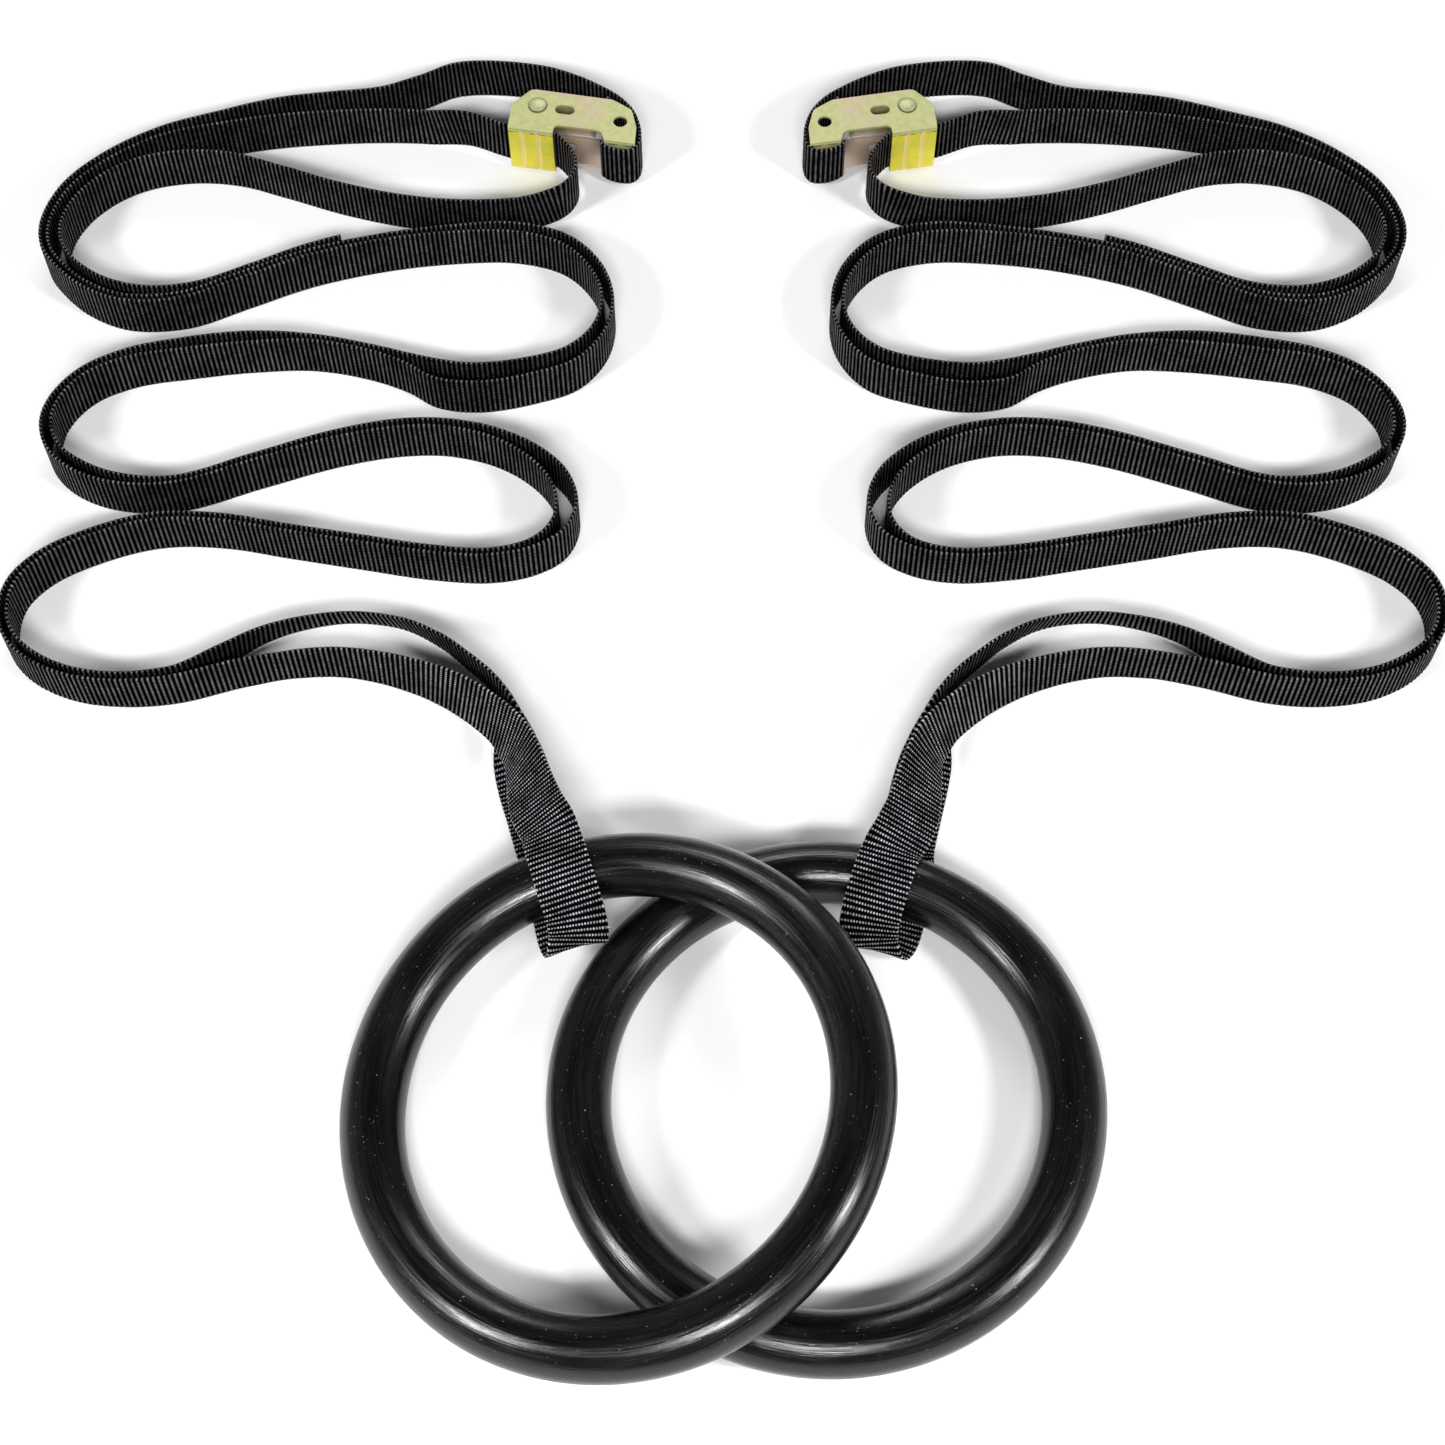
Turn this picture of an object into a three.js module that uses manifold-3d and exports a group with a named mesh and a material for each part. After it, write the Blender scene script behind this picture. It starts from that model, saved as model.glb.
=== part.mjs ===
// A pair of gymnastics rings, each with its own webbing strap and cam buckle, laid out on a floor.
// Millimetres, +Z up, floor at z = 0. Both sets are drawn as the left one and the right one is its mirror.
import * as THREE from 'three';
import { mergeVertices } from 'three/addons/utils/BufferGeometryUtils.js';
import Module from 'manifold-3d';

const wasm = await Module();
wasm.setup();

// Driving dimensions
const RING_OUTSIDE = 235;
const TUBE = 27.5;
const WEB_WIDTH = 26;
const WEB_THICK = 1.6;
const GAP = 0.3;
const CENTRE_Y = 28;

const TUBE_R = TUBE / 2;
const RING_R = RING_OUTSIDE / 2 - TUBE_R;
const WRAP_R = TUBE_R + WEB_THICK / 2 + 0.45;
const STAND = WEB_WIDTH / 2 + GAP;
const UP = [0, 0, 1];

// Where each ring rests. The right one lies on its own strap, the left one leans on the right one.
const FLAT_REST = { centre: [-43.5, -235.2, 14.92], farUp: 0.59, sideUp: 0, loopAngle: 105 };
const LEAN_REST = { centre: [-44.5, -242, 34.64], farUp: 1.46, sideUp: 11.47, loopAngle: 102.5 };

// Buckle: its own x runs along the base wall, its own y away from it
const BUCKLE_AT = [-108.5, 278];
const BUCKLE_TURN = -9.4;
const PLATE = 1.3;
const INSIDE = 26.6;
const FOOT = 1.7;
const FRAME_TOP = FOOT + INSIDE + 2 * PLATE;
const WALL_END = 22.5;
const BAR_START = 49;
const BAR_END = 63.2;
const TOP_DEPTH = 27.3;
const LOW_DEPTH = 23.4;
const PIVOT = [11.6, 17];
const PIN_R = 2.5;
const BORE_R = PIN_R + 0.09;
const STRAP_Z = FOOT + PLATE + INSIDE / 2;

const radians = THREE.MathUtils.degToRad;

// Buckle coordinates to floor coordinates
function fromBuckle([x, y]) {
  const c = Math.cos(radians(BUCKLE_TURN));
  const s = Math.sin(radians(BUCKLE_TURN));
  return [BUCKLE_AT[0] + x * c - y * s, BUCKLE_AT[1] + x * s + y * c];
}

// The strap's sewn end: a flap inside the buckle, round the base bar and out along the far side [x, y]
const SEWN_FLAP = [
  [44.4, 30.4], [50, 26.8], [55.4, 21.6], [60, 15], [61.4, 9], [59.2, 4.9], [54.6, 2.7], [49.6, 2.55],
];
const BAR_WRAP = [[47.3, 0.6], [49.4, -1.35], [53, -2.6], [58.6, -3.2], [63.2, -2.1], [65.8, 1.4]];
const FAR_SIDE = [[66.1, 8], [64, 15.6], [59.4, 23.8], [53, 29.9], [46.4, 34], [29, 41], [7, 45.2]];
// The strap's way in past the cam and out through the base window [x, y]
const WAY_IN = [[-24, 8.6], [-7, 4.9], [0, 3.5], [8, 2.6], [16, 2.45], [21.5, 2.45], [24.6, 1.5]];
const WAY_OUT = [[28.2, -1.4], [33, -6.2], [36.5, -11.8], [37.6, -17.8], [36.2, -24.6], [32, -30.8]];

// Fixed run from the buckle to where both runs meet [x, y]
const FIXED_START = [
  [-136, 326.4], [-156, 317.6], [-176, 309.8], [-201, 306.5], [-229, 302.3], [-258, 293.5],
];
// Both runs side by side [x, y, distance between them]
const PAIR = [
  [-286, 280.8, 5], [-312, 264.6, 4.4], [-330, 245.5, 4], [-338, 223, 4], [-336.4, 208, 3.6],
  [-329, 196.8, 3.2], [-314.5, 183.8, 3.2], [-294, 175.2, 3.2], [-266, 176.6, 3.2], [-237, 189, 3.2],
  [-206, 202.4, 3.2],
  [-171, 212, 3.4], [-137, 217.2, 4], [-103, 218.4, 5.4], [-78, 210.6, 5.6], [-62.8, 194.6, 5.6],
  [-56.6, 176, 5.2], [-60.4, 156.6, 6.4], [-73, 141.6, 8.6], [-94, 133.6, 9.6], [-119, 129.6, 11],
  [-138, 132, 10.6], [-153, 138.4, 5.4], [-172, 144.8, 3.2], [-200, 150.6, 3.4], [-231, 151, 6],
  [-261, 147.2, 6.2], [-289, 141.2, 4.6], [-309.5, 130, 3.8], [-321, 113.6, 4.2], [-322.8, 100, 5],
  [-317.6, 87, 5.4], [-305, 76.2, 6], [-286, 69, 5], [-258, 68.4, 3.2], [-222, 81, 3.2], [-186, 93.6, 3.6],
  [-156, 100, 4], [-131, 100.2, 4.2], [-107, 94, 5.4], [-89, 83.4, 7.4], [-77.4, 70.4, 9], [-73.2, 56.6, 9.4],
  [-77, 42.6, 7.4], [-88.4, 33, 4.2], [-108, 28, 3.2], [-136, 29.6, 3.4], [-170, 35.4, 3.4],
  [-204, 41.4, 3.2],
  [-236, 47.2, 3.2], [-266, 47.4, 3.4], [-293, 39.4, 3.2], [-316, 26.8, 3.2], [-327.6, 12.6, 3.4],
  [-330, -3, 4], [-326, -15.2, 4.2], [-315.4, -26.2, 4.4], [-297, -35.2, 4], [-274, -38.4, 3.8],
  [-250, -36, 4.6],
];
// Fixed run from the pair to the ring: [x, y, z for the flat ring, share of the ring's move], width direction
const TO_RING = [
  [[-219, -29.6, 13.3, 0], UP],
  [[-194, -25, 13.3, 0], UP],
  [[-175, -24.2, 13.3, 0], [0, 0.04, 1]],
  [[-156, -27.2, 13.4, 0], [0.02, 0.1, 0.99]],
  [[-138, -32.6, 13.4, 0], [0.04, 0.2, 0.98]],
  [[-125, -38.4, 13.4, 0], [0.07, 0.29, 0.95]],
  [[-114.4, -45, 13.6, 0], [0.13, 0.36, 0.92]],
  [[-103.6, -54.3, 14.3, 0.03], [0.25, 0.36, 0.9]],
  [[-97.6, -62, 15.6, 0.09], [0.38, 0.34, 0.86]],
  [[-93, -70, 17.4, 0.18], [0.48, 0.32, 0.81]],
  [[-90, -80.2, 19.8, 0.34], [0.62, 0.3, 0.72]],
  [[-86.2, -96.9, 23.6, 0.56], [0.82, 0.24, 0.52]],
  [[-83, -107.9, 26.4, 0.74], [0.9, 0.22, 0.37]],
  [[-78.4, -118.2, 28.9, 0.89], [0.95, 0.23, 0.2]],
];
// Live run from the ring to the pair, written the same way
const FROM_RING = [
  [[-81.6, -114, 1.1, 0.8], [0.97, 0.24, 0]],
  [[-85, -98.5, 1.1, 0.45], [0.98, 0.2, 0]],
  [[-88.6, -84, 2, 0.15], [0.98, 0.12, 0.1]],
  [[-91.8, -72.3, 5, 0.02], [0.94, 0, 0.34]],
  [[-94.4, -62, 8.8, 0], [0.76, -0.16, 0.63]],
  [[-97, -51, 11.9, 0], [0.36, -0.1, 0.93]],
  [[-100.6, -41.2, 12.9, 0], [0.1, -0.1, 0.99]],
  [[-106.6, -33, 13.1, 0], [0.06, -0.14, 0.99]],
  [[-116.2, -23.8, 13, 0], [0.1, -0.22, 0.97]],
  [[-130, -12.6, 12.7, 0], [0.16, -0.32, 0.93]],
  [[-148, -3.4, 12.4, 0], [0.18, -0.36, 0.92]],
  [[-171, 0, 12.6, 0], [0.17, -0.33, 0.93]],
  [[-194, -3.2, 12.7, 0], [0.16, -0.28, 0.95]],
  [[-212.5, -10, 12.9, 0], [0.13, -0.2, 0.97]],
  [[-230, -21.5, 13.2, 0], [0.06, -0.08, 1]],
];
// Live run from the pair back to the buckle [x, y]
const LIVE_END = [[-258, 285.6], [-232, 290.6], [-205, 293.4], [-178, 294.6], [-152, 293.8]];
// Free tail from the buckle to its end, on the inner side of the pair [x, y]
const TAIL = [
  [-101, 237.2], [-131, 235.6], [-161, 238.8], [-192, 246.6], [-223, 257.6], [-249, 266], [-275, 267.4],
  [-299, 261.4], [-316.5, 249], [-327.2, 233.6], [-330.4, 219], [-327, 206.4], [-317.6, 195.6],
  [-303.4, 186.6],
  [-284, 181.8], [-260, 184.2], [-232, 196], [-209, 206.6], [-190, 213.4],
];

// Loop over the tube, round its inner side and back under it: [inwards, along the ring's axis, sideways]
const LOOP = [
  [-9, 14, -1], [-1, WRAP_R, -0.2], [8, 14, 0.4], [16.5, 11.6, 0.9], [24, 7.4, 1], [29.4, 1.4, -0.4],
  [30.8, -4.4, -3.2], [28, -9.8, -6], [21.4, -13.4, -8.2], [11, -WRAP_R, -8.8], [0, -WRAP_R, -8.8],
  [-10, -WRAP_R, -8.4],
];

const point = (v) => new THREE.Vector3(v[0], v[1], v[2] ?? STAND);
const stop = (at, across = UP) => ({ at: point(at), across: new THREE.Vector3(...across) });
const inBuckle = (v) => stop([...fromBuckle(v), STRAP_Z]);

// The pair of runs gives one line on its right-hand side (+1) and one on its left (-1)
function besidePair(side) {
  return PAIR.map(([x, y, distance], i) => {
    const before = PAIR[Math.max(i - 1, 0)];
    const after = PAIR[Math.min(i + 1, PAIR.length - 1)];
    const along = new THREE.Vector2(after[0] - before[0], after[1] - before[1]).normalize();
    const shift = side * distance / 2;
    return stop([x + along.y * shift, y - along.x * shift]);
  });
}

// The ring's own axes at rest: in its plane towards the side, in its plane to the far side, and its spin axis
function ringAxes({ farUp, sideUp }) {
  const turn = new THREE.Matrix4().makeRotationX(radians(farUp));
  turn.multiply(new THREE.Matrix4().makeRotationY(-radians(sideUp)));
  const axes = [new THREE.Vector3(), new THREE.Vector3(), new THREE.Vector3()];
  turn.extractBasis(...axes);
  return axes;
}

// Where the strap goes over the tube: the tube's centre, the way inwards, the spin axis and the strap's width
function loopFrame(rest) {
  const [side, far, spin] = ringAxes(rest);
  const a = radians(rest.loopAngle);
  const outward = side.multiplyScalar(Math.cos(a)).addScaledVector(far, Math.sin(a));
  const tube = point(rest.centre).addScaledVector(outward, RING_R);
  const inward = outward.negate();
  return { tube, inward, spin, across: new THREE.Vector3().crossVectors(spin, inward) };
}

// Every stop of the whole strap, from its sewn end to its free end
function strapStops(rest) {
  const { tube, inward, spin, across } = loopFrame(rest);
  const move = tube.clone().sub(loopFrame(FLAT_REST).tube);
  const lean = across.clone().sub(loopFrame(FLAT_REST).across);
  const lifted = ([[x, y, z, share], w]) => {
    const { at, across: flat } = stop([x, y, z], w);
    return { at: at.addScaledVector(move, share), across: flat.addScaledVector(lean, share) };
  };
  const loop = LOOP.map(([inwards, along, sideways]) => ({
    at: tube.clone().addScaledVector(inward, inwards).addScaledVector(spin, along)
      .addScaledVector(across, sideways),
    across,
  }));
  return [
    ...SEWN_FLAP.map(inBuckle), ...BAR_WRAP.map(inBuckle), ...FAR_SIDE.map(inBuckle),
    ...FIXED_START.map((v) => stop(v)), ...besidePair(1), ...TO_RING.map(lifted), ...loop,
    ...FROM_RING.map(lifted), ...besidePair(-1).reverse(), ...LIVE_END.map((v) => stop(v)),
    ...WAY_IN.map(inBuckle), ...WAY_OUT.map(inBuckle), ...TAIL.map((v) => stop(v)),
  ];
}

// Sections along the stops: close together in bends, far apart on straights
function sections(stops) {
  const curve = new THREE.CatmullRomCurve3(stops.map((s) => s.at), false, 'centripetal');
  const width = new THREE.CatmullRomCurve3(stops.map((s) => s.across), false, 'centripetal');
  const spans = stops.length - 1;
  const fine = [];
  for (let i = 0; i <= spans * 16; i += 1) {
    const t = i / (spans * 16);
    fine.push({ at: curve.getPoint(t), along: curve.getTangent(t), across: width.getPoint(t) });
  }
  const kept = [fine[0]];
  for (const s of fine.slice(1, -1)) {
    const last = kept[kept.length - 1];
    const turn = last.along.angleTo(s.along);
    const reach = last.at.distanceTo(s.at);
    if (turn > radians(14) || turn * reach > 1.6 || reach > 20) {
      kept.push(s);
    }
  }
  kept.push(fine[fine.length - 1]);
  return kept;
}

// A closed band of rectangular section through the stops, never dipping into the floor
function band(stops, width, thick) {
  const corners = [[-1, -1], [1, -1], [1, 1], [-1, 1]];
  const positions = [];
  const list = sections(stops);
  for (const { at, along, across } of list) {
    const w = across.clone().addScaledVector(along, -across.dot(along)).normalize();
    const n = new THREE.Vector3().crossVectors(along, w);
    const below = Math.abs(w.z) * width / 2 + Math.abs(n.z) * thick / 2;
    at.z = Math.max(at.z, below + GAP);
    for (const [i, j] of corners) {
      const p = at.clone().addScaledVector(w, i * width / 2).addScaledVector(n, j * thick / 2);
      positions.push(p.x, p.y, p.z);
    }
  }
  const faces = [0, 2, 1, 0, 3, 2];
  for (let k = 0; k < list.length - 1; k += 1) {
    for (let i = 0; i < 4; i += 1) {
      const a = 4 * k + i;
      const b = 4 * k + (i + 1) % 4;
      faces.push(a, b, b + 4, a, b + 4, a + 4);
    }
  }
  const last = 4 * (list.length - 1);
  faces.push(last, last + 1, last + 2, last, last + 2, last + 3);
  const geometry = new THREE.BufferGeometry();
  geometry.setAttribute('position', new THREE.Float32BufferAttribute(positions, 3));
  geometry.setIndex(faces);
  return geometry;
}

// Solids for joining and cutting
function solid(geometry) {
  const bare = geometry.clone();
  bare.deleteAttribute('normal');
  bare.deleteAttribute('uv');
  const merged = mergeVertices(bare, 1e-4);
  return new wasm.Manifold(new wasm.Mesh({
    numProp: 3,
    vertProperties: new Float32Array(merged.attributes.position.array),
    triVerts: new Uint32Array(merged.index.array),
  }));
}

function fromSolid(manifold) {
  const mesh = manifold.getMesh();
  const geometry = new THREE.BufferGeometry();
  geometry.setAttribute('position', new THREE.Float32BufferAttribute(mesh.vertProperties, 3));
  geometry.setIndex([...mesh.triVerts]);
  return geometry;
}

// A flat outline raised from z = low to z = high
function slab(shape, low, high, curveSegments = 9) {
  const options = { depth: high - low, bevelEnabled: false, curveSegments };
  return new THREE.ExtrudeGeometry(shape, options).translate(0, 0, low);
}

function outline(points) {
  return new THREE.Shape(points.map(([x, y]) => new THREE.Vector2(x, y)));
}

function rod(x, y, radius, low, high, sides = 36) {
  const cylinder = new THREE.CylinderGeometry(radius, radius, high - low, sides).rotateX(Math.PI / 2);
  return cylinder.translate(x, y, (low + high) / 2);
}

// One side plate of the buckle frame: chamfered far corners, window cut-out on the base side, slot and hole
function sidePlate(depth) {
  const shape = new THREE.Shape();
  shape.moveTo(-0.5, 0);
  shape.lineTo(WALL_END, 0);
  shape.lineTo(WALL_END, 4.2);
  shape.quadraticCurveTo(WALL_END + 0.3, 5.8, WALL_END + 2.6, 5.8);
  shape.lineTo(BAR_START - 6.4, 6.1);
  shape.quadraticCurveTo(BAR_START - 2.6, 5.8, BAR_START - 1.2, 3.2);
  shape.quadraticCurveTo(BAR_START - 0.4, 1, BAR_START + 0.4, 0);
  shape.lineTo(65, 0);
  shape.lineTo(63.8, 11);
  shape.lineTo(60, 20.6);
  shape.quadraticCurveTo(59.2, 22.2, 57.4, 22.9);
  shape.lineTo(50, depth - 0.9);
  shape.quadraticCurveTo(48.6, depth - 0.3, 46.8, depth - 0.3);
  shape.lineTo(9, depth);
  shape.quadraticCurveTo(7.2, depth - 0.1, 6, depth - 1.1);
  shape.lineTo(0.2, 18.6);
  shape.quadraticCurveTo(-1.3, 17, -1.4, 14.6);
  shape.lineTo(-1, 4);
  shape.closePath();
  const pinHole = new THREE.Path().absarc(...PIVOT, BORE_R, 0, 2 * Math.PI);
  const roundHole = new THREE.Path().absarc(55.1, 13.4, 3.6, 0, 2 * Math.PI);
  const slot = new THREE.Path();
  slot.absarc(23.7, 16.4, 2.9, Math.PI / 2, 1.5 * Math.PI);
  slot.absarc(28, 16.4, 2.9, 1.5 * Math.PI, 2.5 * Math.PI);
  slot.closePath();
  shape.holes.push(pinHole, roundHole, slot);
  return shape;
}

// The base wall the strap is clamped against, with two pressed grooves up its outer face
function baseWall() {
  const groove = (x) => [[x - 1, 0], [x - 0.4, 0.4], [x + 0.4, 0.4], [x + 1, 0]];
  return outline([
    [-0.5, PLATE], [-0.5, 0], ...groove(6.6), ...groove(14.8), [WALL_END, 0], [WALL_END, PLATE],
  ]);
}

function buckleFrame() {
  const low = solid(slab(sidePlate(LOW_DEPTH), FOOT, FOOT + PLATE));
  const high = solid(slab(sidePlate(TOP_DEPTH), FRAME_TOP - PLATE, FRAME_TOP));
  const wall = solid(slab(baseWall(), FOOT + 0.01, FRAME_TOP - 0.01));
  const bar = outline([[BAR_START, 0], [BAR_END, 0], [BAR_END, PLATE], [BAR_START, PLATE]]);
  const barWall = solid(slab(bar, FOOT + 0.01, FRAME_TOP - 0.01));
  return fromSolid(low.add(high).add(wall).add(barWall));
}

// Cam lever: two ears on the rivet, a toothed cam against the strap and a thumb plate along the far side
function camLever() {
  const [px, py] = PIVOT;
  const points = [
    [6.8, 20.8], [9.6, 24.7], [15.4, 26.2], [36.4, 26.7], [38.2, 26.1], [39, 24.7], [38.3, 24],
    [36.6, 25], [17.4, 24.4], [17.5, 17],
  ];
  const teeth = 9;
  for (let i = 0; i <= teeth; i += 1) {
    const angle = -58 - i * 7.6;
    const reach = 11 + 0.054 * (-58 - angle) - (i % 2 ? 0.7 : 0);
    points.push([px + reach * Math.cos(radians(angle)), py + reach * Math.sin(radians(angle))]);
  }
  points.push([5.8, 13.6]);
  const low = FOOT + PLATE + GAP;
  const high = FRAME_TOP - PLATE - GAP;
  const middle = (low + high) / 2;
  const body = solid(slab(outline(points.reverse()), low, high));
  const bore = solid(rod(px, py, BORE_R, low - 1, high + 1));
  const springRoom = solid(rod(px, py, 6, middle - 5.5, middle + 5.5));
  const mouth = outline([[px - 12, py - 5], [px, py - 5], [px, py + 3], [px - 12, py + 3]]);
  const room = springRoom.add(solid(slab(mouth, middle - 5.5, middle + 5.5)));
  return fromSolid(body.subtract(bore).subtract(room));
}

// Rivet with a domed head outside each side plate
function rivet() {
  const low = FOOT - 0.1;
  const high = FRAME_TOP + 0.1;
  const head = 4.6;
  const rise = 1.5;
  const profile = [[0, low - rise], [2.2, low - rise], [3.6, low - 0.9], [head, low - 0.2], [head, low]];
  profile.push([PIN_R, low], [PIN_R, high], [head, high], [head, high + 0.5], [3.8, high + 1.1]);
  profile.push([2, high + rise], [0, high + rise]);
  const lathe = new THREE.LatheGeometry(profile.map(([x, y]) => new THREE.Vector2(x, y)), 24);
  return fromSolid(solid(lathe.rotateX(Math.PI / 2).translate(...PIVOT, 0)));
}

// Torsion spring round the rivet, with one leg towards the thumb plate and one towards the base wall
class SpringLine extends THREE.Curve {
  getPoint(t, target = new THREE.Vector3()) {
    const radius = 3.7;
    const turns = 4.4;
    const leg = 0.08;
    const s = THREE.MathUtils.clamp((t - leg) / (1 - 2 * leg), 0, 1);
    const angle = radians(150) + s * turns * 2 * Math.PI;
    const past = t < leg ? t - leg : Math.max(t - 1 + leg, 0);
    const out = past * 24;
    const z = STRAP_Z + (s - 0.5) * 6;
    const x = radius * Math.cos(angle) - out * Math.sin(angle);
    const y = radius * Math.sin(angle) + out * Math.cos(angle);
    return target.set(PIVOT[0] + x, PIVOT[1] + y, z);
  }
}

function torsionSpring() {
  const wire = new THREE.Shape().absarc(0, 0, 0.4, 0, 2 * Math.PI);
  return new THREE.ExtrudeGeometry(wire, { steps: 56, curveSegments: 3, extrudePath: new SpringLine() });
}

// Thread round the sewn flap: two rows along it and one across each end, just proud of its inner face
function sewnStitching() {
  const onFlap = SEWN_FLAP.map(([x, y]) => point([x, y, STRAP_Z]));
  const flap = new THREE.CatmullRomCurve3(onFlap, false, 'centripetal');
  const reach = [0.06, 0.15, 0.24, 0.33, 0.42];
  const clear = WEB_THICK / 2 + GAP + 0.3;
  const lane = reach.map((t) => {
    const along = flap.getTangent(t);
    const at = flap.getPoint(t).add(new THREE.Vector3(along.y, -along.x, 0).multiplyScalar(clear));
    return { at, across: point(UP), turn: Math.atan2(along.y, along.x) };
  });
  const rows = [-9.5, 9.5].map((z) => {
    const raised = lane.map(({ at, across }) => ({ at: at.clone().setZ(at.z + z), across }));
    return solid(band(raised, 1, 0.5));
  });
  const ends = [lane[0], lane[lane.length - 1]].map(({ at, turn }) => {
    const row = new THREE.BoxGeometry(1, 0.4, 19).rotateZ(turn);
    return solid(row.translate(at.x, at.y, at.z));
  });
  return fromSolid(rows[0].add(rows[1]).add(ends[0]).add(ends[1]));
}

function ring(rest) {
  const [side, far, spin] = ringAxes(rest);
  const torus = new THREE.TorusGeometry(RING_R, TUBE_R, 16, 56);
  return torus.applyMatrix4(new THREE.Matrix4().makeBasis(side, far, spin).setPosition(...rest.centre));
}

// Mirror a drawn left piece to the right, keeping its faces outward
function mirrored(geometry) {
  const flipped = geometry.clone().scale(-1, 1, 1);
  const count = flipped.attributes.position.count;
  const index = flipped.index ? [...flipped.index.array] : [...Array(count).keys()];
  for (let i = 0; i < index.length; i += 3) {
    [index[i], index[i + 1]] = [index[i + 1], index[i]];
  }
  flipped.setIndex(index);
  return flipped;
}

const FINISH = {
  ring: { color: 0x1b1b1d, roughness: 0.38, metalness: 0 },
  strap: { color: 0x17171a, roughness: 0.85, metalness: 0 },
  sewn_stitching: { color: 0x232326, roughness: 0.8, metalness: 0 },
  buckle_frame: { color: 0xd8d98a, roughness: 0.34, metalness: 0.75 },
  cam_lever: { color: 0xd0cf7c, roughness: 0.36, metalness: 0.75 },
  rivet: { color: 0xdadbc0, roughness: 0.3, metalness: 0.8 },
  return_spring: { color: 0xa9aaa6, roughness: 0.35, metalness: 0.9 },
};

// A piece of the buckle is drawn in buckle coordinates and turned into place
function placed(geometry) {
  return geometry.rotateZ(radians(BUCKLE_TURN)).translate(...BUCKLE_AT, 0);
}

function ringSet(side, rest) {
  const pieces = {
    ring: ring(rest),
    strap: band(strapStops(rest), WEB_WIDTH, WEB_THICK),
    sewn_stitching: placed(sewnStitching()),
    buckle_frame: placed(buckleFrame()),
    cam_lever: placed(camLever()),
    rivet: placed(rivet()),
    return_spring: placed(torsionSpring()),
  };
  const group = new THREE.Group();
  for (const [name, geometry] of Object.entries(pieces)) {
    const mesh = new THREE.Mesh(
      side === 'right' ? mirrored(geometry) : geometry,
      new THREE.MeshStandardMaterial(FINISH[name]),
    );
    mesh.name = `${side}_${name}`;
    group.add(mesh);
  }
  return group;
}

const rings = new THREE.Group();
rings.add(ringSet('right', FLAT_REST), ringSet('left', LEAN_REST));
rings.position.y = CENTRE_Y;

export default rings;
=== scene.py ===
"""Looks of a pair of gymnastics rings on webbing straps with cam buckles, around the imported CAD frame."""
import math

import bmesh
import bpy
import numpy as np
from mathutils import Matrix, Vector


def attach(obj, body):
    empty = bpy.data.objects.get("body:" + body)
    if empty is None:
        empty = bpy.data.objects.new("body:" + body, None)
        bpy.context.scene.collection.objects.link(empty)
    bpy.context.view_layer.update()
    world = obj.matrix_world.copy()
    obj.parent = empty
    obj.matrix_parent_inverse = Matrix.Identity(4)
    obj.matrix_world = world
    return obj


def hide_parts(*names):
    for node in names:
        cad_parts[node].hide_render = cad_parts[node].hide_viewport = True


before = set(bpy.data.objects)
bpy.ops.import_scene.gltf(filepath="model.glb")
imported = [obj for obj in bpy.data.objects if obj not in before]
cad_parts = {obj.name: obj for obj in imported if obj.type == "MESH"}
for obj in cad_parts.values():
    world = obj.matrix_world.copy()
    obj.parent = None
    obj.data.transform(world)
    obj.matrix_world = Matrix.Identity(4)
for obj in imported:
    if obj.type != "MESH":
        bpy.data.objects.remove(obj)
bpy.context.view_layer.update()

MM = 0.001
UP = (0, 0, 1)

# ---------------------------------------------------------------- camera
CAMERA_AT = (0, -0.587, 1.048)
CAMERA_PITCH = math.radians(61.6)
SENSOR_MM = 36
LENS_MM = 64.775
FAR_CLIP = 20

camera = bpy.data.objects.new("camera", bpy.data.cameras.new("camera"))
camera.data.sensor_width = SENSOR_MM
camera.data.lens = LENS_MM
camera.location = CAMERA_AT
camera.rotation_euler = (math.pi / 2 - CAMERA_PITCH, 0, 0)
camera.data.clip_end = FAR_CLIP
bpy.context.scene.collection.objects.link(camera)
bpy.context.scene.camera = camera

# ---------------------------------------------------------------- sizes, in millimetres
TUBE_R = 13.75
RING_R = 103.75
WEB_WIDTH = 26
WEB_THICK = 1.6
GAP = 0.3
WRAP_GAP = 0.45
CENTRE_Y = 28
WRAP_R = TUBE_R + WEB_THICK / 2 + WRAP_GAP
STAND = WEB_WIDTH / 2 + GAP
RIB_PITCH = 2.45
RIB_DEPTH = 0.24
EDGE_DEPTH = 0.3
THREADS_PITCH = 1.3
LOOP_AT = 2040

REST = {
    "right": {"centre": (-43.5, -235.2, 14.92), "far_up": 0.59, "side_up": 0, "loop": 105},
    "left": {"centre": (-44.5, -242, 34.64), "far_up": 1.46, "side_up": 11.47, "loop": 102.5},
}

BUCKLE_AT = (-108.5, 278)
BUCKLE_TURN = math.radians(-9.4)
PLATE = 1.3
INSIDE = 26.6
FOOT = 1.7
FRAME_TOP = FOOT + INSIDE + 2 * PLATE
WALL_END = 22.5
BAR_START = 49
BAR_END = 63.2
TOP_DEPTH = 27.3
LOW_DEPTH = 23.4
GROOVES = (6.6, 14.8)
PIVOT = (11.6, 17)
PIN_R = 2.5
BORE_R = PIN_R + 0.09
STRAP_Z = FOOT + PLATE + INSIDE / 2
FOLD_R = 1.1
STITCH_RISE = 0.35
STITCH_LENGTH = 2.5
STITCH_PITCH = 3.1

# ---------------------------------------------------------------- how finely the strap is drawn
SAMPLES_PER_SPAN = 40
STEPS_PER_RIB = 4
CORD_STRIDE = 8

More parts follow.
